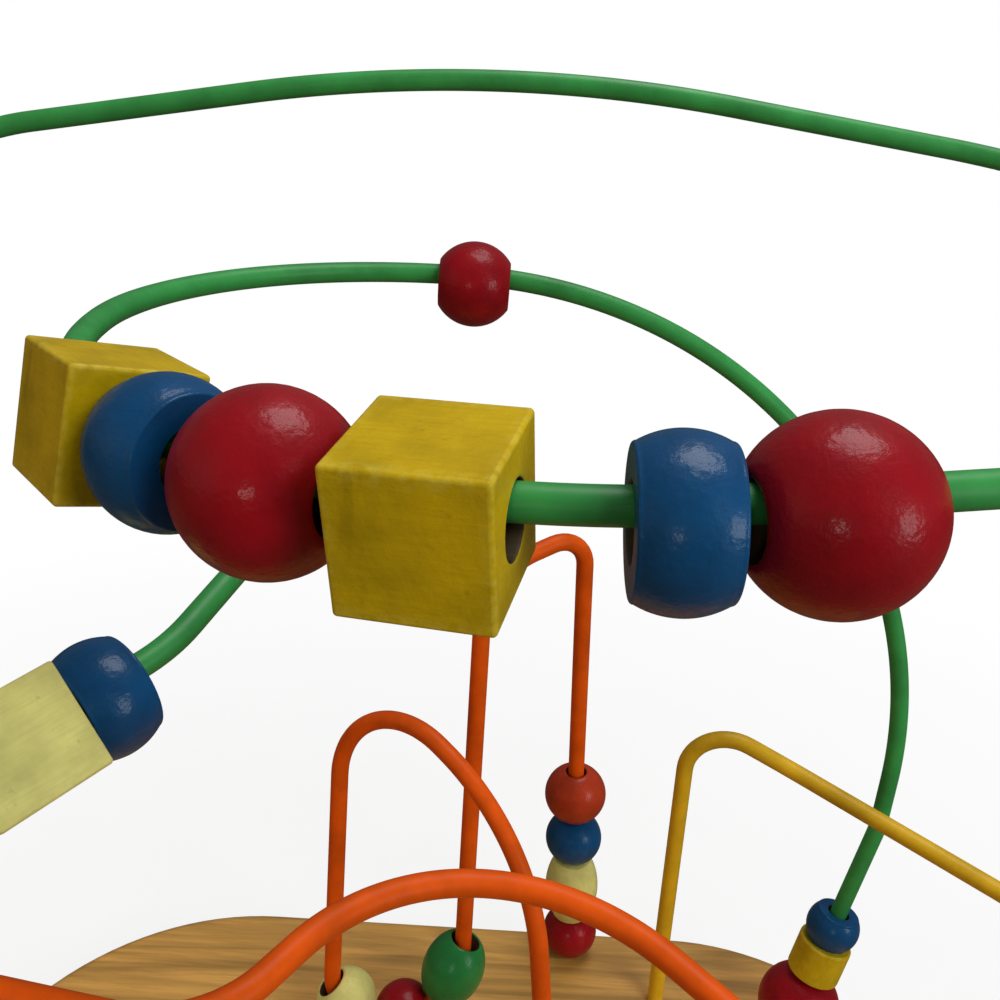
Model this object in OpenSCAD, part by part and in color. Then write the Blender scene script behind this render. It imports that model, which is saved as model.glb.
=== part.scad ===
// Bead maze: a wooden base board, three bent wires and the wooden beads that ride on them.
// Millimetres, +Z up, origin on the underside of the board at its centre, front of the toy on -Y.

/* [Base board] */
// Length of the wooden base board
base_l = 300; // [280:1:340]
// Width of the base board, front to back
base_w = 182; // [174:1:220]
// Thickness of the base board
base_t = 20; // [18:0.5:26]
// Radius of the board's four corners
base_corner_r = 80; // [60:1:86]
// Bevel along the board's edges
base_bevel = 2.5; // [1:0.5:4]
// Depth of the holes that the wire ends are glued into
hole_depth = 14; // [10:0.5:15]

/* [Wires] */
// Diameter of the coated wires
wire_d = 5; // [4:0.1:5.2]
// Height of the green top arch above the board
top_h = 284; // [278:1:294]
// Drop from the top arch to the green ring
ring_drop = 53; // [48:1:58]
// Drop from the ring to the low run on its left
dip_drop = 65; // [60:1:70]
// Height of the orange tall arch above the board
tall_h = 163; // [154:1:168]
// Height of the orange front wave above the board
wave_h = 145; // [138:1:150]
// Height of the yellow hill above the board
hill_h = 108; // [100:1:112]

/* [Large beads] */
// Diameter of the large balls
ball_d = 25; // [21:0.5:27]
// Side of the cubes
cube_s = 20; // [17:0.5:21]
// Greatest diameter of the drums
drum_d = 22; // [18:0.5:24]
// Length of the drums along the wire
drum_l = 12; // [9:0.5:13]
// Hole through the large beads
large_bore = 10; // [9.2:0.1:10.4]

/* [Small beads] */
// Diameter of the ball on the back rail
mid_ball_d = 21.5; // [18:0.5:23]
// Diameter of the small balls
small_ball_d = 18.2; // [15.5:0.1:18.4]
// Diameter of the top ball of the orange stack
cap_ball_d = 19.5; // [17:0.5:22]
// Diameter of the short drum and the plain cylinder
small_drum_d = 16; // [14:0.5:18]
// Length of the short drum along the wire
small_drum_l = 10.5; // [8:0.5:12]
// Length of the plain cylinder along the wire
cylinder_l = 12.5; // [10:0.5:14]
// Greatest diameter of the oval bead
oval_d = 18.8; // [17.5:0.1:20]
// Length of the oval bead along the wire
oval_l = 22; // [18:0.5:22.5]
// Greatest diameter of the long barrel in the orange stack
long_barrel_d = 17.5; // [15:0.5:19]
// Length of the long barrel along the wire
long_barrel_l = 24; // [18:0.5:25]
// Hole through the small beads
small_bore = 6.4; // [6:0.1:7.8]
// Hole through the three beads in the orange valley, wider because they ride on tight bends
valley_bore = 9; // [8.9:0.1:9.6]

/* [Fits] */
// Gap left between pieces that touch
gap = 0.35; // [0.3:0.05:0.5]
// Gap round a wire end in its hole, filled with glue
glue_gap = 0.1; // [0.05:0.05:0.2]

/* [Hidden] */
// bends draw the wire a little thinner than the straight lengths
bend_thin = 0.04;
// length by which a bend runs on into the straight lengths beside it
bend_lap = 0.4;
// the long barrel narrows towards its flat ends
barrel_end = 0.66;
// how far an oval's rounded shoulder reaches past its end towards a neighbour on a bend
oval_shoulder = 0.9;
// softened edges
cube_bevel = 0.9;
cylinder_bevel = 0.8;
// length by which a drill runs out of a bead at each end
drill_out = 1;
// a wire this steep takes its side direction from X instead of Z
steep = 0.9;
ring_h = top_h - ring_drop;
dip_h = ring_h - dip_drop;
// bend from the right leg into the back rail, limited by the leg that stays straight below it
leg_h = 99;
back_r = min(132, ring_h - leg_h);
round_fn = 64;
oval_rings = 24;
wire_fn = 48;
bend_fn = 128;

green_c = [0.10, 0.50, 0.24];
orange_c = [0.92, 0.33, 0.08];
yellow_c = [0.80, 0.60, 0.08];
red_c = [0.60, 0.04, 0.08];
blue_c = [0.08, 0.26, 0.45];
cube_c = [0.75, 0.65, 0.10];
wood_c = [0.76, 0.58, 0.34];
leaf_c = [0.08, 0.38, 0.18];

// Each wire is a row of corners: x, y, height above the board, bend radius.
// A corner at an end of the row has no bend: it is the wire's end in the board.
green_route = [
  [99, 51, -hole_depth, 0],
  [119, 58, 79, 38],
  [127.6, 74.2, ring_h + 2, back_r],
  [-86, 69.5, ring_h + 2, 64],
  [-70, -104, ring_h, 94],
  [150, -63, ring_h + 12, 55],
  [150, 78, top_h - 19, 45],
  [-8, 74, top_h, 400],
  [-160, 78, top_h - 27, 40],
  [-158, -62, dip_h, 38],
  [-102.5, -81.7, dip_h, 20],
  [-59.4, -30.3, dip_h + 13.1, 38],
  [-37.8, 25.9, dip_h + 32.2, 35],
  [-3.1, 90, dip_h + 16, 25],
  [-3.5, 77, -hole_depth, 0]
];
orange_route = [
  [-104, -70, -hole_depth, 0],
  [-100, -72, wave_h - 2, 22],
  [-39, -87, wave_h + 3.5, 18],
  [-2.3, -26, wave_h + 3, 44],
  [74.5, -88, wave_h - 18.5, 22],
  [60, -30, 26, 22],
  [21, 0, 41, 25],
  [13.5, 14, 103, 61],
  [-40.7, 55, 130.6, 24.5],
  [-42.4, 40, 10, 14],
  [-3, 44.5, 10, 23.5],
  [-2.9, 58.5, tall_h - 8.5, 21.5],
  [25, 74, tall_h, 9.2],
  [34.3, 82.7, -hole_depth, 0]
];
yellow_route = [
  [61.5, 62, -hole_depth, 0],
  [61, 68, hill_h, 13],
  [89, 60, hill_h - 11, 40],
  [152, 10, hill_h - 21, 25],
  [118, -80, 80, 28],
  [-62, -80, 104, 30],
  [-62, -70, -hole_depth, 0]
];

// Which corner of a route each bead rides on.
rail_bend = 4;
rail_run = 4;
split_run = 5;
back_bend = 2;
dip_run = 10;
green_foot_run = 0;
orange_foot_run = 12;
valley_left = 9;
valley_right = 10;
yellow_foot_run = 5;

function unit(v) = v / norm(v);
function point(c, i) = [c[i][0], c[i][1], c[i][2] + base_t];
function radius(c, i) = c[i][3];
function last(c) = len(c) - 1;
function heading(c, i) = unit(point(c, i + 1) - point(c, i));
function turn(c, i) = acos(heading(c, i - 1) * heading(c, i));
function tangent_l(c, i) = i == 0 || i == last(c) ? 0 : radius(c, i) * tan(turn(c, i) / 2);
function run_start(c, i) = point(c, i) + heading(c, i) * tangent_l(c, i);
function run_end(c, i) = point(c, i + 1) - heading(c, i) * tangent_l(c, i + 1);
function run_l(c, i) = norm(run_end(c, i) - run_start(c, i));
function bend_axis(c, i) = unit(cross(heading(c, i - 1), heading(c, i)));
function bend_in(c, i) = cross(bend_axis(c, i), heading(c, i - 1));
function bend_centre(c, i) = run_end(c, i - 1) + bend_in(c, i) * radius(c, i);
function bend_out(c, i, q) = -bend_in(c, i) * cos(q) + heading(c, i - 1) * sin(q);
function bend_along(c, i, q) = cross(bend_axis(c, i), bend_out(c, i, q));

// How far off the wire's centre a bead rests, so that its hole hangs on the wire.
function hang(bore) = (bore - wire_d) / 2 - gap;
// Depth of the wire's bow inside a bead of the given hole length.
function bow(r, l) = r - sqrt(r * r - l * l / 4);
// Length of the hole through a ball, and how far its rim stands from the middle.
function ball_hole(d, bore) = sqrt(d * d - bore * bore);
function rim(d, bore) = ball_hole(d, bore) / 2;
// Height of a ball's middle above the board it rests on, on a leg that leans.
function rest_h(d, bore, lean) = d / 2 * cos(max(0, asin(bore / d) - lean)) + gap;

// Angle between two beads that touch on a bend; two flat ends touch at their inner edges.
function arc_angle(l, r) = 180 / PI * l / r;
function flat_to_flat(r, a, b, reach) =
  atan(a / (r - reach)) + atan(b / (r - reach)) + arc_angle(gap, r - reach);
function ball_to_flat(r, ball, flat) = asin((ball + flat + gap) / r);

// Upright direction square to a heading, or the sideways one where the wire is steep.
function upright(t) = unit([0, 0, 1] - t * t[2]);
function upright_or_side(t) = abs(t[2]) > steep ? unit([1, 0, 0] - t * t[0]) : upright(t);

module place(o, x, z) {
  y = cross(z, x);
  multmatrix([[x[0], y[0], z[0], o[0]], [x[1], y[1], z[1], o[1]], [x[2], y[2], z[2], o[2]], [0, 0, 0, 1]])
    children();
}

// The part of straight length i that lies between the shares a and b of it.
module run(c, i, a = 0, b = 1) {
  o = run_start(c, i) + heading(c, i) * run_l(c, i) * a;
  place(o, upright_or_side(heading(c, i)), heading(c, i))
    cylinder(d = wire_d, h = run_l(c, i) * (b - a), $fn = wire_fn);
}

module bend(c, i) {
  lap = arc_angle(bend_lap, radius(c, i));
  place(bend_centre(c, i), -bend_in(c, i), bend_axis(c, i))
    rotate([0, 0, -lap])
      rotate_extrude(angle = turn(c, i) + 2 * lap, $fn = bend_fn)
        translate([radius(c, i), 0])
          circle(d = wire_d - bend_thin, $fn = wire_fn);
}

module wire(c) {
  for (i = [0 : last(c) - 1]) run(c, i);
  for (i = [1 : last(c) - 1]) bend(c, i);
}

// A long wire in two lengths, which meet half way along straight length k.
module wire_before(c, k) {
  for (i = [0 : k - 1]) run(c, i);
  for (i = [1 : k]) bend(c, i);
  run(c, k, 0, 1 / 2);
}

module wire_after(c, k) {
  run(c, k, 1 / 2, 1);
  for (i = [k + 1 : last(c) - 1]) run(c, i);
  for (i = [k + 1 : last(c) - 1]) bend(c, i);
}

// Bead shapes: the hole runs along Z.
module hole(bore, l) {
  cylinder(d = bore, h = l + 2 * drill_out, center = true, $fn = round_fn);
}

module ball(d, bore) {
  difference() {
    sphere(d = d, $fn = round_fn);
    hole(bore, d);
  }
}

module drum(d, l, bore) {
  difference() {
    intersection() {
      sphere(d = d, $fn = round_fn);
      cube([d, d, l], center = true);
    }
    hole(bore, l);
  }
}

module barrel(d, end, l, bore) {
  drop = d * (1 - end) / 2;
  side_r = (l * l / 4 + drop * drop) / (2 * drop);
  rotate_extrude($fn = round_fn)
    intersection() {
      translate([d / 2 - side_r, 0]) circle(r = side_r, $fn = bend_fn);
      translate([bore / 2, -l / 2]) square([d, l]);
    }
}

// An egg shape cut off flat where its hole comes out.
module oval(d, l, bore) {
  open = acos(bore / d);
  half = l / 2 / sin(open);
  outline = [for (k = [0 : oval_rings])
    let (a = open * (2 * k / oval_rings - 1))
    [d / 2 * cos(a), half * sin(a)]];
  rotate_extrude($fn = round_fn) polygon(outline);
}

module bevelled_bar(s, b) {
  e = s / 2;
  linear_extrude(height = s, center = true)
    polygon([
      [e - b, -e], [e, b - e], [e, e - b], [e - b, e],
      [b - e, e], [-e, e - b], [-e, b - e], [b - e, -e]
    ]);
}

module block(s, bore) {
  difference() {
    intersection() {
      bevelled_bar(s, cube_bevel);
      rotate([90, 0, 0]) bevelled_bar(s, cube_bevel);
      rotate([0, 90, 0]) bevelled_bar(s, cube_bevel);
    }
    hole(bore, s);
  }
}

module plain_cylinder(d, l, bore) {
  b = cylinder_bevel;
  r = d / 2;
  h = l / 2;
  rotate_extrude($fn = round_fn)
    polygon([[bore / 2, -h], [r - b, -h], [r, b - h], [r, h - b], [r - b, h], [bore / 2, h]]);
}

// A bead on a level bend: q along the bend, hung by its hole, leaned about the wire or turned on it.
module on_rail(c, i, q, bore, hole_l, lean = 0, yaw = 0) {
  t = bend_along(c, i, q);
  o = bend_centre(c, i) + bend_out(c, i, q) * (radius(c, i) - bow(radius(c, i), hole_l) / 2);
  place(o - upright(t) * hang(bore), upright(t), t)
    rotate([yaw, 0, lean])
      children();
}

// A bead in a valley bend: the rims of its hole hang on the inner side of the wire.
function valley_reach(c, i, hole_l, bore) =
  radius(c, i) - wire_d / 2 - bow(radius(c, i) - wire_d / 2, hole_l) + bore / 2 - gap;
function valley_middle(c, i, q, hole_l, bore) =
  bend_centre(c, i) + bend_out(c, i, q) * valley_reach(c, i, hole_l, bore);
module in_valley(c, i, q, hole_l, bore) {
  place(valley_middle(c, i, q, hole_l, bore), bend_out(c, i, q), bend_along(c, i, q))
    children();
}

// Angle along bend i at which a point at radius r lies l away from point p, before it or past it.
function angle_at(c, i, r, p, l, side) =
  let (
    v = bend_centre(c, i) - p,
    x = -(v * bend_in(c, i)),
    y = v * heading(c, i - 1)
  )
  atan2(y, x) + side * acos((l * l - v * v - r * r) / (2 * r * norm([x, y])));

// A bead on a straight length, s from the start of it, hung by its hole.
module on_run(c, i, s, bore, lean = 0) {
  t = heading(c, i);
  place(run_start(c, i) + t * s - upright(t) * hang(bore), upright(t), t)
    rotate([0, 0, lean])
      children();
}

// A bead on a leg, its middle s along the wire from the board's top.
module on_leg(o, t, s) {
  place(o + t * s, upright_or_side(t), t)
    children();
}

// Points where legs leave the board, and the way up along them.
green_up = heading(green_route, green_foot_run);
green_foot = point(green_route, 0) + green_up * (hole_depth / green_up[2]);
orange_up = -heading(orange_route, orange_foot_run);
orange_foot = point(orange_route, last(orange_route)) + orange_up * (hole_depth / orange_up[2]);
yellow_up = -heading(yellow_route, yellow_foot_run);
yellow_foot = point(yellow_route, last(yellow_route)) + yellow_up * (hole_depth / yellow_up[2]);

// Front rail, as angles along its bend.
drum_rim = sqrt(drum_d * drum_d - drum_l * drum_l) / 2;
rail_r = radius(green_route, rail_bend);
cube_front_q = 71.3;
ball_left_q = cube_front_q - ball_to_flat(rail_r, ball_d / 2, cube_s / 2);
drum_left_q = ball_left_q - ball_to_flat(rail_r, ball_d / 2, drum_l / 2);
cube_left_q = drum_left_q - flat_to_flat(rail_r, drum_l / 2, cube_s / 2, drum_rim);
drum_front_q = 89;
drum_to_run = PI / 180 * rail_r * (turn(green_route, rail_bend) - drum_front_q);
ball_front_s = drum_l / 2 + ball_d / 2 + gap - drum_to_run;
front_lean = 8;
front_yaw = -5;
left_lean = -12;
dip_lean = -38;

// Low run on the left, as lengths along it: the drum lies at its far end.
dip_rest = 1.8;
dip_drum_s = run_l(green_route, dip_run) - drum_l / 2 - dip_rest;
dip_cube_s = dip_drum_s - drum_l / 2 - gap - cube_s / 2;

back_ball_q = turn(green_route, back_bend) - 1;

// Stacks, as heights along their legs.
large_rim = rim(ball_d, small_bore);
small_rim = rim(small_ball_d, small_bore);
cap_rim = rim(cap_ball_d, small_bore);

foot_ball_s = rest_h(ball_d, small_bore, acos(green_up[2])) / green_up[2];
foot_cylinder_s = foot_ball_s + large_rim + gap + cylinder_l / 2;
foot_drum_s = foot_cylinder_s + cylinder_l / 2 + gap + small_drum_l / 2;

stack_low_s = rest_h(small_ball_d, small_bore, acos(orange_up[2])) / orange_up[2];
stack_barrel_s = stack_low_s + small_rim + gap + long_barrel_l / 2;
stack_blue_s = stack_barrel_s + long_barrel_l / 2 + gap + small_rim;
stack_top_s = stack_blue_s + small_rim + gap + cap_rim;

yellow_ball_s = rest_h(small_ball_d, small_bore, acos(yellow_up[2])) / yellow_up[2];
yellow_drum_s = yellow_ball_s + small_rim + gap + small_drum_l / 2;
yellow_top_s = yellow_drum_s + small_drum_l / 2 + gap + small_rim;

// Valley of the orange wire, as angles along its two bends: the red ball lies between the two others.
before = 1;
past = -1;
valley_red_q = 15;
valley_hole = ball_hole(small_ball_d, valley_bore);
valley_red = valley_middle(orange_route, valley_right, valley_red_q, valley_hole, valley_bore);
valley_yellow_r = valley_reach(orange_route, valley_left, valley_hole, valley_bore);
valley_yellow_q = angle_at(orange_route, valley_left, valley_yellow_r, valley_red, small_ball_d + gap, before);
valley_oval_r = valley_reach(orange_route, valley_right, oval_l, valley_bore);
valley_step = (small_ball_d + oval_l) / 2 + gap + oval_shoulder;
valley_oval_q = angle_at(orange_route, valley_right, valley_oval_r, valley_red, valley_step, past);

module hole_for(c, i, end) {
  up = i == 0 ? heading(c, 0) : -heading(c, i);
  place(end - up * gap, upright_or_side(up), up)
    cylinder(d = wire_d + 2 * glue_gap, h = hole_depth / up[2] + base_t, $fn = wire_fn);
}

module holes_for(c) {
  hole_for(c, 0, point(c, 0));
  hole_for(c, last(c) - 1, point(c, last(c)));
}

module edge_profile(w) {
  b = base_bevel;
  polygon([[0, 0], [w - b, 0], [w, b], [w, base_t - b], [w - b, base_t], [0, base_t]]);
}

module board() {
  r = base_corner_r;
  l = base_l - 2 * r;
  w = base_w - 2 * r;
  translate([-l / 2, -w / 2, 0]) cube([l, w, base_t]);
  for (s = [0, 180]) rotate([0, 0, s]) {
    translate([l / 2, w / 2, 0]) rotate([90, 0, 0]) linear_extrude(height = w) edge_profile(r);
    translate([-l / 2, w / 2, 0]) rotate([90, 0, 90]) linear_extrude(height = l) edge_profile(r);
    translate([l / 2, w / 2, 0]) rotate_extrude(angle = 90, $fn = bend_fn) edge_profile(r);
    translate([-l / 2, w / 2, 0]) rotate([0, 0, 90]) rotate_extrude(angle = 90, $fn = bend_fn) edge_profile(r);
  }
}

module base_board() color(wood_c) difference() {
  board();
  holes_for(green_route);
  holes_for(orange_route);
  holes_for(yellow_route);
}

module green_ring_wire() color(green_c) wire_before(green_route, split_run);
module green_arch_wire() color(green_c) wire_after(green_route, split_run);
module orange_wire() color(orange_c) wire(orange_route);
module yellow_wire() color(yellow_c) wire(yellow_route);

module rail_cube_left() color(cube_c)
  on_rail(green_route, rail_bend, cube_left_q, large_bore, cube_s, left_lean) block(cube_s, large_bore);
module rail_drum_left() color(blue_c)
  on_rail(green_route, rail_bend, drum_left_q, large_bore, drum_l) drum(drum_d, drum_l, large_bore);
module rail_ball_left() color(red_c)
  on_rail(green_route, rail_bend, ball_left_q, large_bore, ball_hole(ball_d, large_bore))
    ball(ball_d, large_bore);
module rail_cube_front() color(cube_c)
  on_rail(green_route, rail_bend, cube_front_q, large_bore, cube_s, front_lean) block(cube_s, large_bore);
module rail_drum_front() color(blue_c)
  on_rail(green_route, rail_bend, drum_front_q, large_bore, drum_l, 0, front_yaw)
    drum(drum_d, drum_l, large_bore);
module rail_ball_front() color(red_c)
  on_run(green_route, rail_run, ball_front_s, large_bore) ball(ball_d, large_bore);

module back_ball() color(red_c)
  on_rail(green_route, back_bend, back_ball_q, large_bore, 0) ball(mid_ball_d, large_bore);

module dip_drum() color(blue_c)
  on_run(green_route, dip_run, dip_drum_s, large_bore) drum(drum_d, drum_l, large_bore);
module dip_cube() color(cube_c)
  on_run(green_route, dip_run, dip_cube_s, large_bore, dip_lean) block(cube_s, large_bore);

module green_foot_ball() color(red_c)
  on_leg(green_foot, green_up, foot_ball_s) ball(ball_d, small_bore);
module green_foot_cylinder() color(cube_c)
  on_leg(green_foot, green_up, foot_cylinder_s) plain_cylinder(small_drum_d, cylinder_l, small_bore);
module green_foot_drum() color(blue_c)
  on_leg(green_foot, green_up, foot_drum_s) drum(small_drum_d, small_drum_l, small_bore);

module stack_ball_low() color(red_c)
  on_leg(orange_foot, orange_up, stack_low_s) ball(small_ball_d, small_bore);
module stack_barrel() color(cube_c)
  on_leg(orange_foot, orange_up, stack_barrel_s) barrel(long_barrel_d, barrel_end, long_barrel_l, small_bore);
module stack_ball_blue() color(blue_c)
  on_leg(orange_foot, orange_up, stack_blue_s) ball(small_ball_d, small_bore);
module stack_ball_top() color(red_c)
  on_leg(orange_foot, orange_up, stack_top_s) ball(cap_ball_d, small_bore);

module valley_oval() color(leaf_c)
  in_valley(orange_route, valley_right, valley_oval_q, oval_l, valley_bore) oval(oval_d, oval_l, valley_bore);
module valley_ball_red() color(red_c)
  in_valley(orange_route, valley_right, valley_red_q, valley_hole, valley_bore)
    ball(small_ball_d, valley_bore);
module valley_ball_yellow() color(cube_c)
  in_valley(orange_route, valley_left, valley_yellow_q, valley_hole, valley_bore)
    ball(small_ball_d, valley_bore);

module yellow_foot_ball() color(leaf_c)
  on_leg(yellow_foot, yellow_up, yellow_ball_s) ball(small_ball_d, small_bore);
module yellow_foot_drum() color(red_c)
  on_leg(yellow_foot, yellow_up, yellow_drum_s) drum(small_drum_d, small_drum_l, small_bore);
module yellow_foot_ball_top() color(blue_c)
  on_leg(yellow_foot, yellow_up, yellow_top_s) ball(small_ball_d, small_bore);

base_board();
green_ring_wire();
green_arch_wire();
orange_wire();
yellow_wire();
rail_cube_left();
rail_drum_left();
rail_ball_left();
rail_cube_front();
rail_drum_front();
rail_ball_front();
back_ball();
dip_drum();
dip_cube();
green_foot_ball();
green_foot_cylinder();
green_foot_drum();
stack_ball_low();
stack_barrel();
stack_ball_blue();
stack_ball_top();
valley_oval();
valley_ball_red();
valley_ball_yellow();
yellow_foot_ball();
yellow_foot_drum();
yellow_foot_ball_top();
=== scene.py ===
import math

import bpy
from mathutils import Matrix, Vector


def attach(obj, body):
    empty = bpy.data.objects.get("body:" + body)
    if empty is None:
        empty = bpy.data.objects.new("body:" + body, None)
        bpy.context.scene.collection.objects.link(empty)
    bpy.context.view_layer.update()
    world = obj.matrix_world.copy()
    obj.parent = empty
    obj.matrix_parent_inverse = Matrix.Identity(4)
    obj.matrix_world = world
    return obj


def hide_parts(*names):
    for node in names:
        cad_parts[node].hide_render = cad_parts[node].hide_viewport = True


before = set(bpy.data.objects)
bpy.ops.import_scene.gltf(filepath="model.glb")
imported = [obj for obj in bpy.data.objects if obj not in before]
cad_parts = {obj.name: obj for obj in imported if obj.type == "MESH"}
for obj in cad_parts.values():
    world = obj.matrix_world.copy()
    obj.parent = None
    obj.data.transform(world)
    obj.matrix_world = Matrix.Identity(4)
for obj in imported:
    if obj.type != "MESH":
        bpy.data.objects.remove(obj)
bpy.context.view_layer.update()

# Sizes and places are in millimetres, and are scaled to metres where a mesh or a matrix is made.
MM = 0.001

# Board and wires
BOARD_L, BOARD_W, BOARD_T = 300, 182, 20.0
BOARD_CORNER = 80
BOARD_SOFT = 4.0
HOLE_DEPTH = 14
WIRE_R = 2.5
# Gap left between pieces that touch
GAP = 0.35

# Wire routes: x, y, height above the board and bend radius at each corner
GREEN = [
    (99, 51, -HOLE_DEPTH, 0), (119, 58, 79, 38), (127.6, 74.2, 233, 132),
    (-86, 69.5, 233, 64), (-70, -104, 231, 94), (150, -63, 243, 55),
    (150, 78, 265, 45), (-8, 74, 284, 400), (-160, 78, 257, 40),
    (-158, -62, 166, 38), (-102.5, -81.7, 166, 20), (-59.4, -30.3, 179.1, 38),
    (-37.8, 25.9, 198.2, 35), (-3.1, 90, 182, 25), (-3.5, 77, -HOLE_DEPTH, 0),
]
ORANGE = [
    (-104, -70, -HOLE_DEPTH, 0), (-100, -72, 143, 22), (-39, -87, 148.5, 18),
    (-2.3, -26, 148, 44), (74.5, -88, 126.5, 22), (60, -30, 26, 22),
    (21, 0, 41, 25), (13.5, 14, 103, 61), (-40.7, 55, 130.6, 24.5),
    (-42.4, 40, 10, 14), (-3, 44.5, 10, 23.5), (-2.9, 58.5, 154.5, 21.5),
    (25, 74, 163, 9.2), (34.3, 82.7, -HOLE_DEPTH, 0),
]
YELLOW = [
    (61.5, 62, -HOLE_DEPTH, 0), (61, 68, 108, 13), (89, 60, 97, 40),
    (152, 10, 87, 25), (118, -80, 80, 28), (-62, -80, 104, 30),
    (-62, -70, -HOLE_DEPTH, 0),
]

# Bends and straight runs that the beads ride on, by their number in the rows above
BACK_BEND, RAIL_BEND, RAIL_RUN, DIP_RUN = 2, 4, 4, 10
VALLEY_LEFT, VALLEY_RIGHT = 9, 10
# Run of the green wire where its two pieces meet
SPLIT_RUN = 5

# Bead sizes
BALL_D, CUBE_S, DRUM_D, DRUM_L, RAIL_BORE = 25.0, 20.0, 22.0, 12.0, 10.0
BACK_BALL_D, SMALL_BALL_D, CAP_BALL_D = 21.5, 18.2, 19.5
SMALL_DRUM_D, SMALL_DRUM_L, CYLINDER_L = 16.0, 10.5, 12.5
BARREL_D, BARREL_L, BARREL_END = 17.5, 24.0, 0.66
OVAL_D, OVAL_L, OVAL_SHOULDER = 18.8, 22.0, 0.9
LEG_BORE, VALLEY_BORE = 6.4, 9.0

# Bead places: degrees along a bend, degrees of lean about the wire or of yaw, and a length along the wire
FRONT_CUBE_AT, FRONT_DRUM_AT, VALLEY_RED_AT = 71.3, 89, 15
BACK_BALL_TO_END = 1
LEFT_CUBE_LEAN, FRONT_CUBE_LEAN, DIP_CUBE_LEAN = -12, 8, -38
FRONT_DRUM_YAW = -5
DIP_REST = 1.8

# Mesh detail: lengths between points along a wire, and points round a wire, a bead and a softened edge
STRAIGHT_STEP, BEND_STEP, BEND_LEAST = 4, 1.6, 4
WIRE_SIDES, BEAD_SIDES, SOFT_STEPS = 28, 72, 6


class Route:
    """Straight runs and bends of one wire. Bend i is at corner i, run i goes from corner i to the next."""

    def __init__(self, corners):
        self.p = [Vector((x, y, z + BOARD_T)) for x, y, z, _ in corners]
        self.r = [c[3] for c in corners]
        self.n = len(corners)

    def heading(self, i):
        return (self.p[i + 1] - self.p[i]).normalized()

    def turn(self, i):
        return math.acos(max(-1, min(1, self.heading(i - 1).dot(self.heading(i)))))

    def reach(self, i):
        """Length that bend i takes from the runs beside it."""
        return 0 if i in (0, self.n - 1) else self.r[i] * math.tan(self.turn(i) / 2)

    def start(self, i):
        return self.p[i] + self.heading(i) * self.reach(i)

    def end(self, i):
        return self.p[i + 1] - self.heading(i) * self.reach(i + 1)

    def axis(self, i):
        return self.heading(i - 1).cross(self.heading(i)).normalized()

    def inward(self, i):
        """Direction from the start of bend i to its centre."""
        return self.axis(i).cross(self.heading(i - 1))

    def centre(self, i):
        return self.end(i - 1) + self.inward(i) * self.r[i]

    def out(self, i, q):
        """Direction from the centre of bend i to the wire, q degrees along the bend."""
        q = math.radians(q)
        return -self.inward(i) * math.cos(q) + self.heading(i - 1) * math.sin(q)

    def along(self, i, q):
        return self.axis(i).cross(self.out(i, q))

    def points(self, first=0, last=None):
        """Points along runs first to last. A run that isn't at the wire's own end is cut half way."""
        final = self.n - 2
        last = final if last is None else last
        pts = []
        for i in range(first, last + 1):
            a, b = self.start(i), self.end(i)
            if i == first and i > 0:
                a = a.lerp(b, 0.5)
            if i == last and i < final:
                b = a.lerp(b, 0.5)
            k = max(1, int((b - a).length / STRAIGHT_STEP))
            pts += [a.lerp(b, j / k) for j in range(k)]
            if i == last:
                pts.append(b)
            else:
                r, t, c = self.r[i + 1], self.turn(i + 1), self.centre(i + 1)
                k = max(BEND_LEAST, int(r * t / BEND_STEP))
                pts += [c + self.out(i + 1, math.degrees(t) * j / k) * r for j in range(k)]
        return pts


green, orange, yellow = Route(GREEN), Route(ORANGE), Route(YELLOW)


# Materials

BLACK, WHITE = (0, 0, 0, 1), (1, 1, 1, 1)


def tone(c, k):
    """Colour c, k times as bright."""
    return tuple(min(1.0, v * k) for v in c) + (1.0,)


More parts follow.
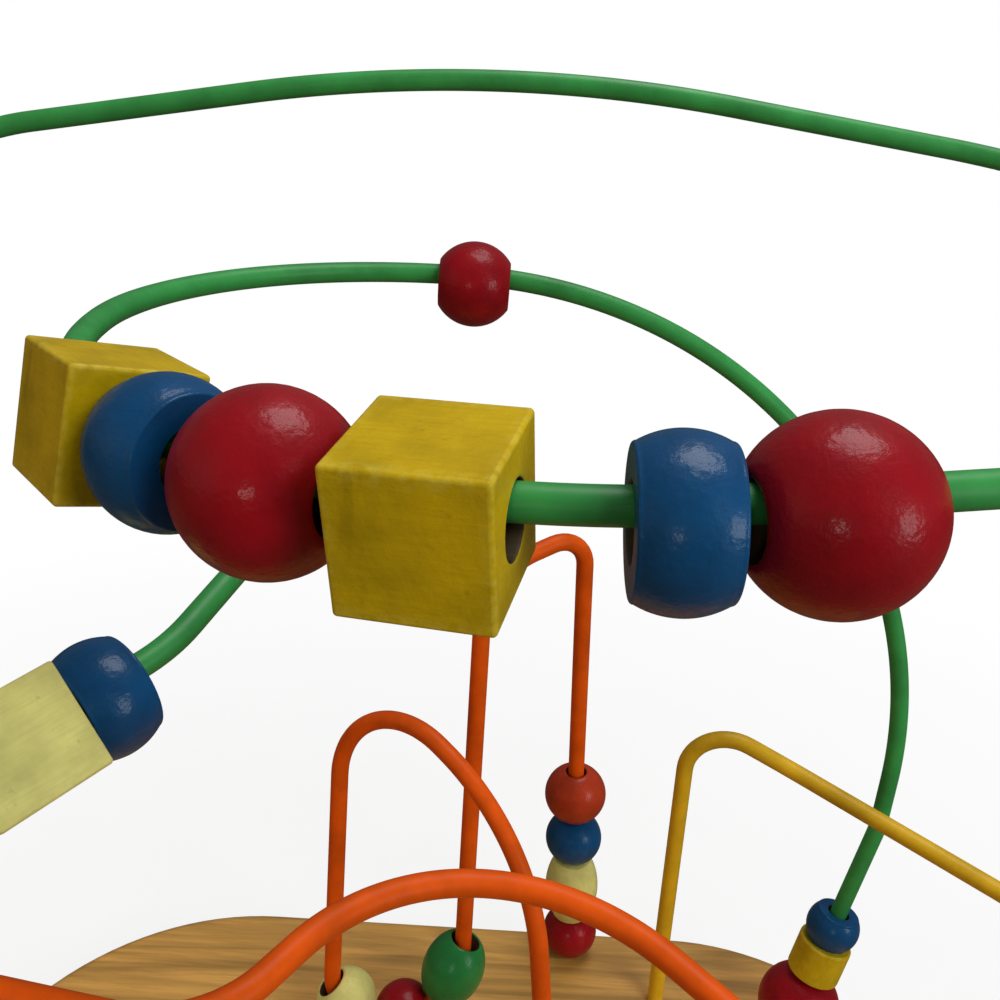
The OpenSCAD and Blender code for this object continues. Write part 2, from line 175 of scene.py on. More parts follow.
class Nodes:
    """A material's node tree with short helpers."""

    def __init__(self, name):
        self.mat = bpy.data.materials.new(name)
        self.mat.use_nodes = True
        self.tree = self.mat.node_tree
        self.bsdf = self.tree.nodes["Principled BSDF"]
        self.coord = self.tree.nodes.new("ShaderNodeTexCoord")

    def add(self, kind, **inputs):
        n = self.tree.nodes.new(kind)
        for k, v in inputs.items():
            n.inputs[k.replace("_", " ")].default_value = v
        return n

    def link(self, a, b):
        self.tree.links.new(a, b)

    def feed(self, sock, v):
        """Link socket sock to v where v is an output, and otherwise set it to v."""
        if hasattr(v, "is_output"):
            self.link(v, sock)
        else:
            sock.default_value = v

    def mapped(self, scale=(1, 1, 1), rot=(0, 0, 0)):
        m = self.add("ShaderNodeMapping", Scale=scale, Rotation=rot)
        self.link(self.coord.outputs["Object"], m.inputs["Vector"])
        return m.outputs["Vector"]

    def noise(self, vec, scale, detail, rough, distort=0.0):
        n = self.add("ShaderNodeTexNoise", Scale=scale, Detail=detail, Roughness=rough, Distortion=distort)
        self.link(vec, n.inputs["Vector"])
        return n.outputs["Fac"]

    def ramp(self, fac, *stops):
        r = self.add("ShaderNodeValToRGB")
        elements = r.color_ramp.elements
        while len(elements) < len(stops):
            elements.new(0.5)
        for e, (pos, color) in zip(elements, stops):
            e.position = pos
            e.color = color
        self.link(fac, r.inputs["Fac"])
        return r.outputs["Color"]

    def mask(self, fac, lo, hi):
        return self.ramp(fac, (lo, BLACK), (hi, WHITE))

    def shades(self, fac, body, *stops):
        return self.ramp(fac, *((pos, tone(body, k)) for pos, k in stops))

    def mix(self, fac, a, b):
        m = self.add("ShaderNodeMix")
        m.data_type = "RGBA"
        for i, v in ((0, fac), (6, a), (7, b)):
            self.feed(m.inputs[i], v)
        return m.outputs[2]

    def math(self, op, a, b, clamp=False):
        m = self.add("ShaderNodeMath")
        m.operation = op
        m.use_clamp = clamp
        self.feed(m.inputs[0], a)
        self.feed(m.inputs[1], b)
        return m.outputs[0]

    def span(self, fac, lo, hi):
        return self.math("ADD", self.math("MULTIPLY", fac, hi - lo), lo)

    def attribute(self, name):
        a = self.add("ShaderNodeAttribute")
        a.attribute_name = name
        return a.outputs["Fac"]

    def bump(self, height, strength, distance, after=None):
        b = self.add("ShaderNodeBump", Strength=strength, Distance=distance)
        self.link(height, b.inputs["Height"])
        if after:
            self.link(after, b.inputs["Normal"])
        return b.outputs["Normal"]

    def done(self, color, rough=None, normal=None, **fixed):
        for sock, v in (("Base Color", color), ("Roughness", rough), ("Normal", normal)):
            if v is not None:
                self.link(v, self.bsdf.inputs[sock])
        for k, v in fixed.items():
            self.bsdf.inputs[k.replace("_", " ")].default_value = v
        return self.mat


def paint(name, body, grain, coat, wear=0.0, edge_wear_and_sheen=None):
    """Paint over turned wood: blotches, grain, dimples and, with wear, edges recoloured in patches (partly
    rubbed paint, partly a painted highlight), specks and scratches.
    """
    n = Nodes(name)
    vec = n.mapped()
    blotches = n.noise(vec, scale=90, detail=3, rough=0.55)
    color = n.shades(blotches, body, (0.28, 0.72), (0.52, 1.0), (0.78, 1.22))
    fibres = n.noise(n.mapped((1500, 1500, 130)), scale=1.0, detail=5, rough=0.62, distort=0.3)
    lines = n.mask(fibres, 0.42, 0.72)
    color = n.mix(n.math("MULTIPLY", lines, grain), color, tone(body, 0.6))
    if wear:
        # Edges take the edge colour in patches: partly rubbed paint, partly a painted highlight along the edges
        rub_and_sheen = n.mask(n.noise(vec, scale=520, detail=4, rough=0.6), 0.40, 0.62)
        rubbed_and_lit_edges = n.math("MULTIPLY", n.attribute("edge"), rub_and_sheen)
        color = n.mix(n.math("MULTIPLY", rubbed_and_lit_edges, wear, clamp=True), color, tone(edge_wear_and_sheen, 1))
        specks = n.mask(n.noise(vec, scale=640, detail=2, rough=0.5), 0.715, 0.75)
        color = n.mix(n.math("MULTIPLY", specks, 0.5 * wear), color, tone(body, 0.3))
        marks = n.noise(n.mapped((60, 1700, 240), (0.4, 0.5, 0.7)), scale=1.0, detail=3, rough=0.5, distort=0.4)
        scratches = n.mask(marks, 0.68, 0.73)
        color = n.mix(n.math("MULTIPLY", scratches, 0.9 * wear), color, tone(body, 0.5))
    rough = n.span(n.noise(vec, scale=240, detail=4, rough=0.6), 0.38, 0.54)
    peel = n.bump(n.noise(vec, scale=950, detail=2, rough=0.5), strength=0.24, distance=0.0004)
    dents = n.bump(n.noise(vec, scale=160, detail=2, rough=0.4), strength=0.14, distance=0.0010, after=peel)
    normal = n.bump(fibres, strength=0.08 + 0.25 * grain, distance=0.0003, after=dents)
    n.link(dents, n.bsdf.inputs["Coat Normal"])
    return n.done(color, rough, normal, Specular_IOR_Level=0.12, Coat_Weight=coat, Coat_Roughness=0.2)


def coating(name, body, shine):
    """Dipped plastic coating of the wires: soft gloss, scuffs and a faint ripple."""
    n = Nodes(name)
    vec = n.mapped()
    cloud = n.noise(vec, scale=55, detail=4, rough=0.6)
    color = n.shades(cloud, body, (0.30, 0.74), (0.52, 1.0), (0.75, 1.25))
    scuff = n.mask(n.noise(vec, scale=300, detail=5, rough=0.65, distort=0.4), 0.66, 0.76)
    color = n.mix(n.math("MULTIPLY", scuff, 0.3), color, tone(body, 0.35))
    rough = n.span(n.noise(vec, scale=260, detail=4, rough=0.6), 0.36, 0.50)
    normal = n.bump(n.noise(vec, scale=150, detail=1, rough=0.4), strength=0.08, distance=0.0006)
    return n.done(color, rough, normal, Specular_IOR_Level=shine)


def bare_wood(name, body, scale, gloss):
    """Bare or varnished wood: growth bands and fibres."""
    n = Nodes(name)
    wide = tuple(v / 7 for v in scale)
    bands = n.noise(n.mapped(wide), scale=1.0, detail=3, rough=0.5, distort=1.2)
    color = n.shades(bands, body, (0.30, 0.6), (0.50, 1.0), (0.72, 1.35))
    fibres = n.noise(n.mapped(scale), scale=1.0, detail=6, rough=0.65, distort=0.2)
    lines = n.mask(fibres, 0.45, 0.75)
    color = n.mix(n.math("MULTIPLY", lines, 0.45), color, tone(body, 0.5))
    return n.done(color, n.span(fibres, *gloss), n.bump(fibres, strength=0.22, distance=0.0004))


PAINT_RED = paint("paint_red", (0.29, 0.0025, 0.008), grain=0.10, coat=0.3)
PAINT_CORAL = paint("paint_coral", (0.40, 0.036, 0.010), grain=0.10, coat=0.3)
PAINT_BLUE = paint("paint_blue", (0.003, 0.060, 0.175), grain=0.14, coat=0.35)
# Edge colours below are partly rubbed paint and partly a painted highlight along the edges; on the yellow the
# edge colour is lighter than the body
PAINT_YELLOW = paint("paint_yellow", (0.57, 0.375, 0.004), grain=0.30, coat=0.06, wear=0.4,
                     edge_wear_and_sheen=(0.70, 0.56, 0.08))
PAINT_PALE = paint("paint_pale_yellow", (0.72, 0.66, 0.22), grain=0.24, coat=0.08, wear=0.4,
                   edge_wear_and_sheen=(0.62, 0.50, 0.16))
PAINT_GREEN = paint("paint_green", (0.016, 0.185, 0.042), grain=0.12, coat=0.4)
COAT_GREEN = coating("coating_green", (0.036, 0.29, 0.064), shine=0.36)
COAT_ORANGE = coating("coating_orange", (0.76, 0.092, 0.003), shine=0.16)
COAT_YELLOW = coating("coating_yellow", (0.68, 0.39, 0.010), shine=0.3)
# Wood inside the holes: bare wood, darkened far below the board's tone as painted shade inside the hole
WOOD_BORE_SHADED = bare_wood("bore_wood_painted_shade", (0.075, 0.045, 0.014), scale=(900, 900, 60), gloss=(0.5, 0.7))
WOOD_BOARD = bare_wood("board_wood", (0.60, 0.31, 0.070), scale=(60, 900, 900), gloss=(0.34, 0.52))


# Meshes

def mesh_object(name, verts, faces, mats, face_mats=None, edge=None):
    """Smooth mesh. The values in edge say how strongly the edge colour shows at each point: partly rubbed
    paint, partly a painted highlight.
    """
    me = bpy.data.meshes.new(name)
    me.from_pydata([tuple(v) for v in verts], [], faces)
    for m in mats:
        me.materials.append(m)
    if face_mats:
        me.polygons.foreach_set("material_index", face_mats)
    if edge:
        me.attributes.new("edge", "FLOAT", "POINT").data.foreach_set("value", edge)
    me.polygons.foreach_set("use_smooth", [True] * len(me.polygons))
    me.validate()
    me.update()
    ob = bpy.data.objects.new(name, me)
    bpy.context.collection.objects.link(ob)
    return ob


def quad(a, b, j, k):
    """Face between rings a and b, of k points each, from point j to the next."""
    i = (j + 1) % k
    return a * k + j, a * k + i, b * k + i, b * k + j


def looped(name, rows, mat):
    """Bead skin: rows of (ring, edge weight) joined into a closed loop. The hole's faces, at its ends, are bare
    wood darkened as painted shade.
    """
    n, k = len(rows), len(rows[0][0])
    verts = [p for ring, _ in rows for p in ring]
    faces = [quad(a, (a + 1) % n, j, k) for a in range(n) for j in range(k)]
    # The hole's faces get the dark bore wood: bare wood darkened as painted shade inside the hole
    bare = (0, n - 2, n - 1)
    face_mats = [int(a in bare) for a in range(n) for _ in range(k)]
    edge = [rub_and_sheen for _, rub_and_sheen in rows for _ in range(k)]
    ob = mesh_object(name, verts, faces, [mat, WOOD_BORE_SHADED], face_mats, edge)
    ob.modifiers.new("normals", "WEIGHTED_NORMAL").keep_sharp = True
    return ob


def capped(name, rings, mat):
    """Rings joined one to the next, with a flat face at each end."""
    last, k = len(rings) - 1, len(rings[0])
    verts = [p for ring in rings for p in ring]
    faces = [quad(a, a + 1, j, k) for a in range(last) for j in range(k)]
    faces.append(tuple(reversed(range(k))))
    faces.append(tuple(last * k + j for j in range(k)))
    return mesh_object(name, verts, faces, [mat])


def quarter(j, steps=SOFT_STEPS):
    """Angle of step j of a quarter turn."""
    return math.radians(90 * j / steps)


def circle(r, z):
    turns = [2 * math.pi * j / BEAD_SIDES for j in range(BEAD_SIDES)]
    return [Vector((r * math.cos(a), r * math.sin(a), z)) * MM for a in turns]


def turned(name, profile, bore, mat, chamfer=0.35):
    """Turned bead: profile is a row of (radius, height, edge weight) from the lower end to the upper end."""
    rb, small = bore / 2, chamfer * 0.3
    z0, z1 = profile[0][1], profile[-1][1]
    rows = [(rb, z0 + chamfer, 0.3), (rb + small, z0 + small, 0.8), (rb + chamfer, z0, 0.6)]
    rows += profile
    rows += [(rb + chamfer, z1, 0.6), (rb + small, z1 - small, 0.8), (rb, z1 - chamfer, 0.3)]
    return looped(name, [(circle(r, z), rub_and_sheen) for r, z, rub_and_sheen in rows], mat)


def mirrored_ends(ends):
    return [(r, -z, rub_and_sheen) for r, z, rub_and_sheen in reversed(ends)]


def ball(name, d, bore, mat, flat=0.9, steps=40):
    """Ball with a flat ring of width flat round its hole."""
    r = d / 2
    a0 = math.asin((bore / 2 + flat) / r)
    profile = []
    for j in range(steps + 1):
        a = a0 + (math.pi - 2 * a0) * j / steps
        profile.append((r * math.sin(a), -r * math.cos(a), 0.0))
    return turned(name, profile, bore, mat)


def bowed(name, radius_at, l, bore, mat, soft, steps=28):
    """Bead whose side follows radius_at(z), with rounded edges at its flat ends."""
    top = l / 2 - soft
    levels = [-top + 2 * top * j / steps for j in range(steps + 1)]
    side = [(radius_at(z), z, 0.0) for z in levels]
    r_top = radius_at(top)
    ends = []
    for j in range(1, SOFT_STEPS + 1):
        a = quarter(j)
        rub_and_sheen = 1.0 if 1 < j < SOFT_STEPS else 0.5
        ends.append((r_top - soft * 0.8 * (1 - math.cos(a)), top + soft * math.sin(a), rub_and_sheen))
    return turned(name, mirrored_ends(ends) + side + ends, bore, mat)


def drum(name, d, l, bore, mat):
    """Slice of a ball."""
    return bowed(name, lambda z: math.sqrt(d * d / 4 - z * z), l, bore, mat, soft=0.5)


def barrel(name, d, end, l, bore, mat):
    """Long bead that narrows to the share end of its diameter at its ends."""
    drop = d * (1 - end) / 2
    side = (l * l / 4 + drop * drop) / (2 * drop)
    return bowed(name, lambda z: d / 2 - side + math.sqrt(side * side - z * z), l, bore, mat, soft=0.9)


def oval(name, d, l, bore, mat, flat=0.6, steps=44):
    """Egg shape cut off flat where its hole comes out."""
    wide = math.acos((bore + 2 * flat) / d)
    half = l / 2 / math.sin(math.acos(bore / d))
    profile = []
    for j in range(steps + 1):
        a = wide * (2 * j / steps - 1)
        profile.append((d / 2 * math.cos(a), half * math.sin(a), 0.0))
    return turned(name, profile, bore, mat)


def cylinder(name, d, l, bore, mat, soft=0.8):
    ends = []
    for j in range(SOFT_STEPS + 1):
        a = quarter(j)
        rub_and_sheen = 1.0 if 0 < j < SOFT_STEPS else 0.4
        ends.append((d / 2 - soft * (1 - math.cos(a)), l / 2 - soft + soft * math.sin(a), rub_and_sheen))
    return turned(name, mirrored_ends(ends) + ends, bore, mat)


def square_ring(e, c, z, straight=12, arc=6):
    """Ring round a square of half side e with corner radius c."""
    local = [(e, -(e - c) + 2 * (e - c) * j / straight) for j in range(straight)]
    for j in range(arc):
        a = math.pi / 2 * j / arc
        local.append((e - c + c * math.cos(a), e - c + c * math.sin(a)))
    pts = []
    for side in range(4):
        a = math.pi / 2 * side
        pts += [(x * math.cos(a) - y * math.sin(a), x * math.sin(a) + y * math.cos(a)) for x, y in local]
    return [Vector((x, y, z)) * MM for x, y in pts]


def block(name, s, bore, mat, soft=0.65, sharp=0.06, chamfer=0.4):
    """Cube with softened edges and a hole along its length."""
    e, rb, small = s / 2, bore / 2, chamfer * 0.3

    def face_edge(z):
        return square_ring(e - soft, sharp, z)

    def hole_ring(r, z):
        lift = Vector((0, 0, z * MM))
        return [Vector((p.x, p.y, 0)).normalized() * r * MM + lift for p in face_edge(0)]

    def on_face(t):
        return [a.lerp(b, t) for a, b in zip(hole_ring(rb + chamfer, e), face_edge(e))]

    half = [(hole_ring(rb, e - chamfer), 0.3), (hole_ring(rb + small, e - small), 0.9)]
    half += [(hole_ring(rb + chamfer, e), 0.6)]
    half += [(on_face(t), 0.0) for t in (0.2, 0.45, 0.7, 0.92)]
    half += [(face_edge(e), 0.6)]
    for j in range(1, SOFT_STEPS + 1):
        a = quarter(j)
        ring = square_ring(e - soft + soft * math.sin(a), sharp + (soft - sharp) * math.sin(a),
                           e - soft + soft * math.cos(a))
        half.append((ring, 1.0 if j < SOFT_STEPS else 0.5))
    half += [(square_ring(e, soft, (e - soft) * t), 0.0) for t in (0.85, 0.6, 0.3)]
    low = [([Vector((p.x, p.y, -p.z)) for p in ring], rub_and_sheen) for ring, rub_and_sheen in half]
    ob = looped(name, low + [(square_ring(e, soft, 0), 0.0)] + half[::-1], mat)
    rub_and_sheen = ob.data.attributes["edge"].data
    for v in ob.data.vertices:
        if abs(abs(v.co.x) - e * MM) < soft * MM and abs(abs(v.co.y) - e * MM) < soft * MM:
            rub_and_sheen[v.index].value = 1.0
    return ob


def tube(name, points, mat):
    """Round wire through the points, with sharp edges round its flat ends."""
    pts = [p * MM for p in points]
    last = len(pts) - 1
    turns = [2 * math.pi * j / WIRE_SIDES for j in range(WIRE_SIDES)]
    rings = []
    u = (pts[1] - pts[0]).normalized().orthogonal().normalized()
    for i, p in enumerate(pts):
        t = (pts[min(i + 1, last)] - pts[max(i - 1, 0)]).normalized()
        u = (u - t * u.dot(t)).normalized()
        v = t.cross(u)
        rings.append([p + (u * math.cos(a) + v * math.sin(a)) * WIRE_R * MM for a in turns])
    ob = capped(name, rings, mat)
    for e in ob.data.edges:
        e.use_edge_sharp = max(e.vertices) < WIRE_SIDES or min(e.vertices) >= last * WIRE_SIDES
    return ob


def board_outline(inset, z, steps=24):
    """Ring round the board, inset from its sides."""
    r = BOARD_CORNER - inset
    pts = []
    for sx, sy, a0 in ((1, 1, 0), (-1, 1, 90), (-1, -1, 180), (1, -1, 270)):
        x = sx * (BOARD_L / 2 - BOARD_CORNER)
        y = sy * (BOARD_W / 2 - BOARD_CORNER)
        for j in range(steps + 1):
            a = math.radians(a0 + 90 * j / steps)
            pts.append(Vector((x + r * math.cos(a), y + r * math.sin(a), z)) * MM)
    return pts


def board(name, mat, top_steps=8):
    """Board with round corners, a softened lower edge and a rounder upper edge."""
    low = BOARD_SOFT * 0.6
    rings = []
    for j in range(SOFT_STEPS + 1):
        a = quarter(j)
        rings.append(board_outline(low * (1 - math.sin(a)), low * (1 - math.cos(a))))
    for j in range(top_steps + 1):
        a = quarter(j, top_steps)
        z = BOARD_T - BOARD_SOFT + BOARD_SOFT * math.sin(a)
        rings.append(board_outline(BOARD_SOFT * (1 - math.cos(a)), z))
    ob = capped(name, rings, mat)
    ob.modifiers.new("normals", "WEIGHTED_NORMAL")
    return ob


# Places on the wires

def place(ob, o, x, z):
    """Put an object's origin at o, with its X and Z axes along x and z."""
    axes = Matrix((x, z.cross(x), z)).transposed().to_4x4()
    ob.matrix_world = Matrix.Translation(o * MM) @ axes
    return ob


def upright(t, steep=0.9):
    """Direction square to t, upwards or, where t is steep, along X."""
    if abs(t.z) > steep:
        return (Vector((1, 0, 0)) - t * t.x).normalized()
    return (Vector((0, 0, 1)) - t * t.z).normalized()


def hang(bore):
    """Drop of a bead that hangs on its wire."""
    return (bore - 2 * WIRE_R) / 2 - GAP


def bow(r, l):
    """Height of an arc of radius r over a chord l."""
    return r - math.sqrt(r * r - l * l / 4)


def hole_length(d, bore):
    """Length of a hole through the middle of a ball."""
    return math.sqrt(d * d - bore * bore)


def spin(v, axis, a):
    return Matrix.Rotation(math.radians(a), 3, axis) @ v


def on_rail(ob, c, i, q, bore, hole_l, lean=0, yaw=0):
    """Hang a bead q degrees along bend i."""
    t = c.along(i, q)
    up = upright(t)
    o = c.centre(i) + c.out(i, q) * (c.r[i] - bow(c.r[i], hole_l) / 2) - up * hang(bore)
    return place(ob, o, spin(up, t, lean), spin(t, up, yaw))


def on_run(ob, c, i, s, bore, lean=0):
    """Hang a bead at length s along run i."""
    t = c.heading(i)
    up = upright(t)
    return place(ob, c.start(i) + t * s - up * hang(bore), spin(up, t, lean), t)


def valley_radius(c, i, hole_l, bore):
    """Distance from the centre of bend i to a bead that rests on the bend's inner side."""
    inner = c.r[i] - WIRE_R
    return inner - bow(inner, hole_l) + bore / 2 - GAP


def valley_point(c, i, q, hole_l, bore):
    return c.centre(i) + c.out(i, q) * valley_radius(c, i, hole_l, bore)


def in_valley(ob, c, i, q, hole_l, bore):
    return place(ob, valley_point(c, i, q, hole_l, bore), c.out(i, q), c.along(i, q))


def angle_at(c, i, r, p, l, side):
    """Angle along bend i at which a point at radius r lies l away from point p, before it or past it."""
    v = c.centre(i) - p
    x, y = -v.dot(c.inward(i)), v.dot(c.heading(i - 1))
    swing = math.acos((l * l - v.dot(v) - r * r) / (2 * r * math.hypot(x, y)))
    return math.degrees(math.atan2(y, x) + side * swing)


def ball_to_flat(r, half):
    """Angle on a bend of radius r between a large ball and a flat-ended bead that touch."""
    return math.degrees(math.asin((BALL_D / 2 + half + GAP) / r))


def flat_to_flat(r, half_a, half_b):
    """Angle on a bend whose inner edges lie at radius r between two flat-ended beads that touch there."""
    return math.degrees(math.atan(half_a / r) + math.atan(half_b / r) + GAP / r)


def finish_piece(ob, node, body=None):
    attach(ob, body or node)
    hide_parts(node)


def stack(c, at_start, ball_d, beads):
    """Beads on a leg from the board up, the lowest a ball: rows of (object, half length, node, slot); the slot
    is not used.
    """
    up = c.heading(0) if at_start else -c.heading(c.n - 2)
    end = c.p[0] if at_start else c.p[-1]
    foot = end + up * (HOLE_DEPTH / up.z)
    tilt = max(0, math.asin(LEG_BORE / ball_d) - math.acos(up.z))
    s = (ball_d / 2 * math.cos(tilt) + GAP) / up.z
    below = None
    for ob, half, node, slot in beads:
        if below is not None:
            s += below + GAP + half
        below = half
        finish_piece(place(ob, foot + up * s, upright(up), up), node)


# Front rail
RAIL_R = green.r[RAIL_BEND]
DRUM_END_R = hole_length(DRUM_D, DRUM_L) / 2
RAIL_BALL_HOLE = hole_length(BALL_D, RAIL_BORE)
q_ball = FRONT_CUBE_AT - ball_to_flat(RAIL_R, CUBE_S / 2)
q_drum = q_ball - ball_to_flat(RAIL_R, DRUM_L / 2)
q_left = q_drum - flat_to_flat(RAIL_R - DRUM_END_R, DRUM_L / 2, CUBE_S / 2)
rail_left = RAIL_R * (green.turn(RAIL_BEND) - math.radians(FRONT_DRUM_AT))
s_ball = DRUM_L / 2 + BALL_D / 2 + GAP - rail_left

piece = block("cube_left", CUBE_S, RAIL_BORE, PAINT_YELLOW)
on_rail(piece, green, RAIL_BEND, q_left, RAIL_BORE, CUBE_S, lean=LEFT_CUBE_LEAN)
finish_piece(piece, "rail_cube_left")

piece = drum("drum_left", DRUM_D, DRUM_L, RAIL_BORE, PAINT_BLUE)
on_rail(piece, green, RAIL_BEND, q_drum, RAIL_BORE, DRUM_L)
finish_piece(piece, "rail_drum_left")

piece = ball("ball_left", BALL_D, RAIL_BORE, PAINT_RED)
on_rail(piece, green, RAIL_BEND, q_ball, RAIL_BORE, RAIL_BALL_HOLE)
finish_piece(piece, "rail_ball_left")

piece = block("cube_front", CUBE_S, RAIL_BORE, PAINT_YELLOW)
on_rail(piece, green, RAIL_BEND, FRONT_CUBE_AT, RAIL_BORE, CUBE_S, lean=FRONT_CUBE_LEAN)
finish_piece(piece, "rail_cube_front")

piece = drum("drum_front", DRUM_D, DRUM_L, RAIL_BORE, PAINT_BLUE)
on_rail(piece, green, RAIL_BEND, FRONT_DRUM_AT, RAIL_BORE, DRUM_L, yaw=FRONT_DRUM_YAW)
finish_piece(piece, "rail_drum_front")

piece = ball("ball_front", BALL_D, RAIL_BORE, PAINT_RED)
on_run(piece, green, RAIL_RUN, s_ball, RAIL_BORE)
finish_piece(piece, "rail_ball_front")

# Back rail
piece = ball("ball_back", BACK_BALL_D, RAIL_BORE, PAINT_RED)
q_back = math.degrees(green.turn(BACK_BEND)) - BACK_BALL_TO_END
on_rail(piece, green, BACK_BEND, q_back, RAIL_BORE, 0)
finish_piece(piece, "back_ball")

# Dip on the left
s_drum = (green.end(DIP_RUN) - green.start(DIP_RUN)).length - DRUM_L / 2 - DIP_REST
piece = drum("drum_dip", DRUM_D, DRUM_L, RAIL_BORE, PAINT_BLUE)
on_run(piece, green, DIP_RUN, s_drum, RAIL_BORE)
finish_piece(piece, "dip_drum")

s_cube = s_drum - (DRUM_L / 2 + GAP + CUBE_S / 2)
piece = block("cube_dip", CUBE_S, RAIL_BORE, PAINT_PALE)
on_run(piece, green, DIP_RUN, s_cube, RAIL_BORE, lean=DIP_CUBE_LEAN)
finish_piece(piece, "dip_cube")

# Stacks on the legs
BALL_HALF, SMALL_HALF, CAP_HALF = (hole_length(d, LEG_BORE) / 2 for d in (BALL_D, SMALL_BALL_D, CAP_BALL_D))
stack(green, True, BALL_D, [
    (ball("foot_ball", BALL_D, LEG_BORE, PAINT_RED), BALL_HALF, "green_foot_ball", "bead_red"),
    (cylinder("foot_cylinder", SMALL_DRUM_D, CYLINDER_L, LEG_BORE, PAINT_YELLOW), CYLINDER_L / 2,
     "green_foot_cylinder", "bead_yellow"),
    (drum("foot_drum", SMALL_DRUM_D, SMALL_DRUM_L, LEG_BORE, PAINT_BLUE), SMALL_DRUM_L / 2,
     "green_foot_drum", "bead_blue"),
])
stack(orange, False, SMALL_BALL_D, [
    (ball("stack_red_low", SMALL_BALL_D, LEG_BORE, PAINT_RED), SMALL_HALF, "stack_ball_low", "bead_red"),
    (barrel("stack_yellow", BARREL_D, BARREL_END, BARREL_L, LEG_BORE, PAINT_PALE), BARREL_L / 2,
     "stack_barrel", "bead_yellow"),
    (ball("stack_blue", SMALL_BALL_D, LEG_BORE, PAINT_BLUE), SMALL_HALF, "stack_ball_blue", "bead_blue"),
    (ball("stack_red_top", CAP_BALL_D, LEG_BORE, PAINT_CORAL), CAP_HALF, "stack_ball_top", "bead_red"),
])
stack(yellow, False, SMALL_BALL_D, [
    (ball("front_green", SMALL_BALL_D, LEG_BORE, PAINT_GREEN), SMALL_HALF, "yellow_foot_ball", "bead_green"),
    (drum("front_red", SMALL_DRUM_D, SMALL_DRUM_L, LEG_BORE, PAINT_RED), SMALL_DRUM_L / 2,
     "yellow_foot_drum", "bead_red"),
    (ball("front_blue", SMALL_BALL_D, LEG_BORE, PAINT_BLUE), SMALL_HALF, "yellow_foot_ball_top", "bead_blue"),
])

# Valley of the orange wire
ball_hole = hole_length(SMALL_BALL_D, VALLEY_BORE)
red_at = valley_point(orange, VALLEY_RIGHT, VALLEY_RED_AT, ball_hole, VALLEY_BORE)
yellow_r = valley_radius(orange, VALLEY_LEFT, ball_hole, VALLEY_BORE)
q_yellow = angle_at(orange, VALLEY_LEFT, yellow_r, red_at, SMALL_BALL_D + GAP, 1)
oval_r = valley_radius(orange, VALLEY_RIGHT, OVAL_L, VALLEY_BORE)
oval_to_red = (SMALL_BALL_D + OVAL_L) / 2 + GAP + OVAL_SHOULDER
q_oval = angle_at(orange, VALLEY_RIGHT, oval_r, red_at, oval_to_red, -1)

piece = oval("valley_green", OVAL_D, OVAL_L, VALLEY_BORE, PAINT_GREEN)
in_valley(piece, orange, VALLEY_RIGHT, q_oval, OVAL_L, VALLEY_BORE)
finish_piece(piece, "valley_oval")

piece = ball("valley_red", SMALL_BALL_D, VALLEY_BORE, PAINT_RED)
in_valley(piece, orange, VALLEY_RIGHT, VALLEY_RED_AT, ball_hole, VALLEY_BORE)
finish_piece(piece, "valley_ball_red")

piece = ball("valley_yellow", SMALL_BALL_D, VALLEY_BORE, PAINT_PALE)
in_valley(piece, orange, VALLEY_LEFT, q_yellow, ball_hole, VALLEY_BORE)
finish_piece(piece, "valley_ball_yellow")

# Wires and board
piece = tube("wire_green_ring", green.points(last=SPLIT_RUN), COAT_GREEN)
finish_piece(piece, "green_ring_wire", "frame")
piece = tube("wire_green_arch", green.points(first=SPLIT_RUN), COAT_GREEN)
finish_piece(piece, "green_arch_wire", "frame")
piece = tube("wire_orange", orange.points(), COAT_ORANGE)
finish_piece(piece, "orange_wire", "frame")
piece = tube("wire_yellow", yellow.points(), COAT_YELLOW)
finish_piece(piece, "yellow_wire", "frame")
finish_piece(board("board", WOOD_BOARD), "base_board", "frame")

# Floor: dim for the light that it throws back, white for the camera, with the part's shadow near its middle
FLOOR_HALF, FLOOR_Z = 8, -0.0005
n = Nodes("floor_white")
seen = n.add("ShaderNodeLightPath").outputs["Is Camera Ray"]
paper = n.noise(n.mapped(), scale=30, detail=3, rough=0.5)
pale = n.ramp(paper, (0.3, (0.88, 0.88, 0.88, 1)), (0.7, (0.92, 0.92, 0.92, 1)))
dim = n.ramp(paper, (0.3, (0.14, 0.11, 0.08, 1)), (0.7, (0.18, 0.14, 0.11, 1)))
n.done(n.mix(seen, dim, pale), Roughness=0.9, Specular_IOR_Level=0.0)
far = n.add("ShaderNodeVectorMath")
far.operation = "LENGTH"
n.link(n.coord.outputs["Object"], far.inputs[0])
fade = n.add("ShaderNodeMapRange", From_Min=0.2, From_Max=0.5, To_Min=0.8, To_Max=1.0)
n.link(far.outputs["Value"], fade.inputs["Value"])
glow = n.add("ShaderNodeEmission", Color=WHITE, Strength=1.0)
mixed = n.add("ShaderNodeMixShader")
n.link(n.math("MULTIPLY", seen, fade.outputs["Result"]), mixed.inputs[0])
n.link(n.bsdf.outputs[0], mixed.inputs[1])
n.link(glow.outputs[0], mixed.inputs[2])
n.link(mixed.outputs[0], n.tree.nodes["Material Output"].inputs["Surface"])
corners = [(x * FLOOR_HALF, y * FLOOR_HALF, FLOOR_Z) for x, y in ((-1, -1), (1, -1), (1, 1), (-1, 1))]
floor = mesh_object("floor", corners, [(0, 1, 2, 3)], [n.mat])

# World: white for the camera, faint for everything else
AMBIENT = 0.14
world = bpy.data.worlds.new("studio")
bpy.context.scene.world = world
world.use_nodes = True
tree = world.node_tree
path = tree.nodes.new("ShaderNodeLightPath")
level = tree.nodes.new("ShaderNodeMix")
level.data_type = "FLOAT"
level.inputs[2].default_value = AMBIENT
level.inputs[3].default_value = 1.0
tree.links.new(path.outputs["Is Camera Ray"], level.inputs[0])
background = tree.nodes["Background"]
tree.links.new(level.outputs[0], background.inputs["Strength"])
background.inputs["Color"].default_value = WHITE

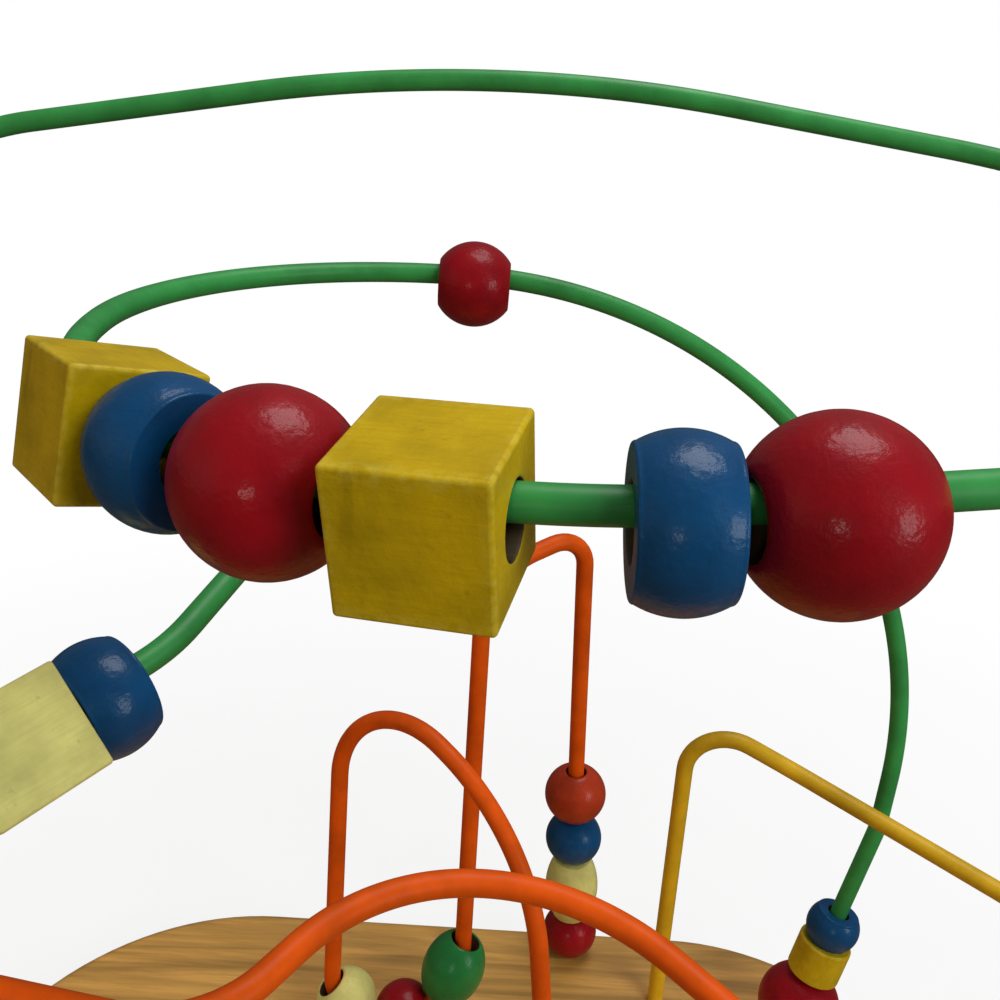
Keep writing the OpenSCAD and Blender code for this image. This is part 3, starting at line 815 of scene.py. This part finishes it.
# Lights
LIT_POINT = Vector((0, 0, 0.2))


def area(name, pos, size, power, color=(1, 1, 1), mirrored=True):
    """Area light towards the part. Where it isn't mirrored, it shows in no reflection."""
    light = bpy.data.lights.new(name, "AREA")
    light.shape = "RECTANGLE"
    light.size, light.size_y = size
    light.energy = power
    light.color = color
    ob = bpy.data.objects.new(name, light)
    ob.location = pos
    ob.visible_glossy = mirrored
    ob.rotation_euler = (LIT_POINT - Vector(pos)).to_track_quat("-Z", "Y").to_euler()
    bpy.context.collection.objects.link(ob)


area("ceiling", (0.22, 0.20, 1.25), (0.6, 0.6), 6.2)
area("window", (0.66, -0.70, 0.85), (0.5, 0.5), 5.4, (0.95, 1.0, 0.94), mirrored=False)
area("pane_left", (0.82, -0.66, 0.40), (0.13, 0.40), 1.0, (0.95, 1.0, 0.97))
area("pane_right", (0.91, -0.53, 0.40), (0.13, 0.40), 1.0, (0.95, 1.0, 0.97))
area("lamp", (-0.25, -1.16, 0.39), (0.08, 0.10), 0.6, (1.0, 0.92, 0.82))
area("wall_left", (-1.0, -0.45, 0.45), (0.7, 0.8), 2.4, (1.0, 0.82, 0.60), mirrored=False)

# Camera, fitted to the photo
CAMERA_AT = Vector((0, -0.197, 0.300))
PITCH_DOWN, ROLL = math.radians(22), math.radians(3.5)
cam = bpy.data.cameras.new("camera")
cam.sensor_width = 36.0
cam.lens = 37.44
cam.clip_start = 0.01
view = bpy.data.objects.new("camera", cam)
bpy.context.collection.objects.link(view)
forward = Vector((0, math.cos(PITCH_DOWN), -math.sin(PITCH_DOWN)))
level_up = Vector((0, math.sin(PITCH_DOWN), math.cos(PITCH_DOWN)))
level_right = Vector((1, 0, 0))
right = level_right * math.cos(ROLL) + level_up * math.sin(ROLL)
up = level_up * math.cos(ROLL) - level_right * math.sin(ROLL)
view.matrix_world = Matrix.Translation(CAMERA_AT) @ Matrix((right, up, -forward)).transposed().to_4x4()
bpy.context.scene.camera = view
bpy.context.scene.view_settings.view_transform = "Standard"
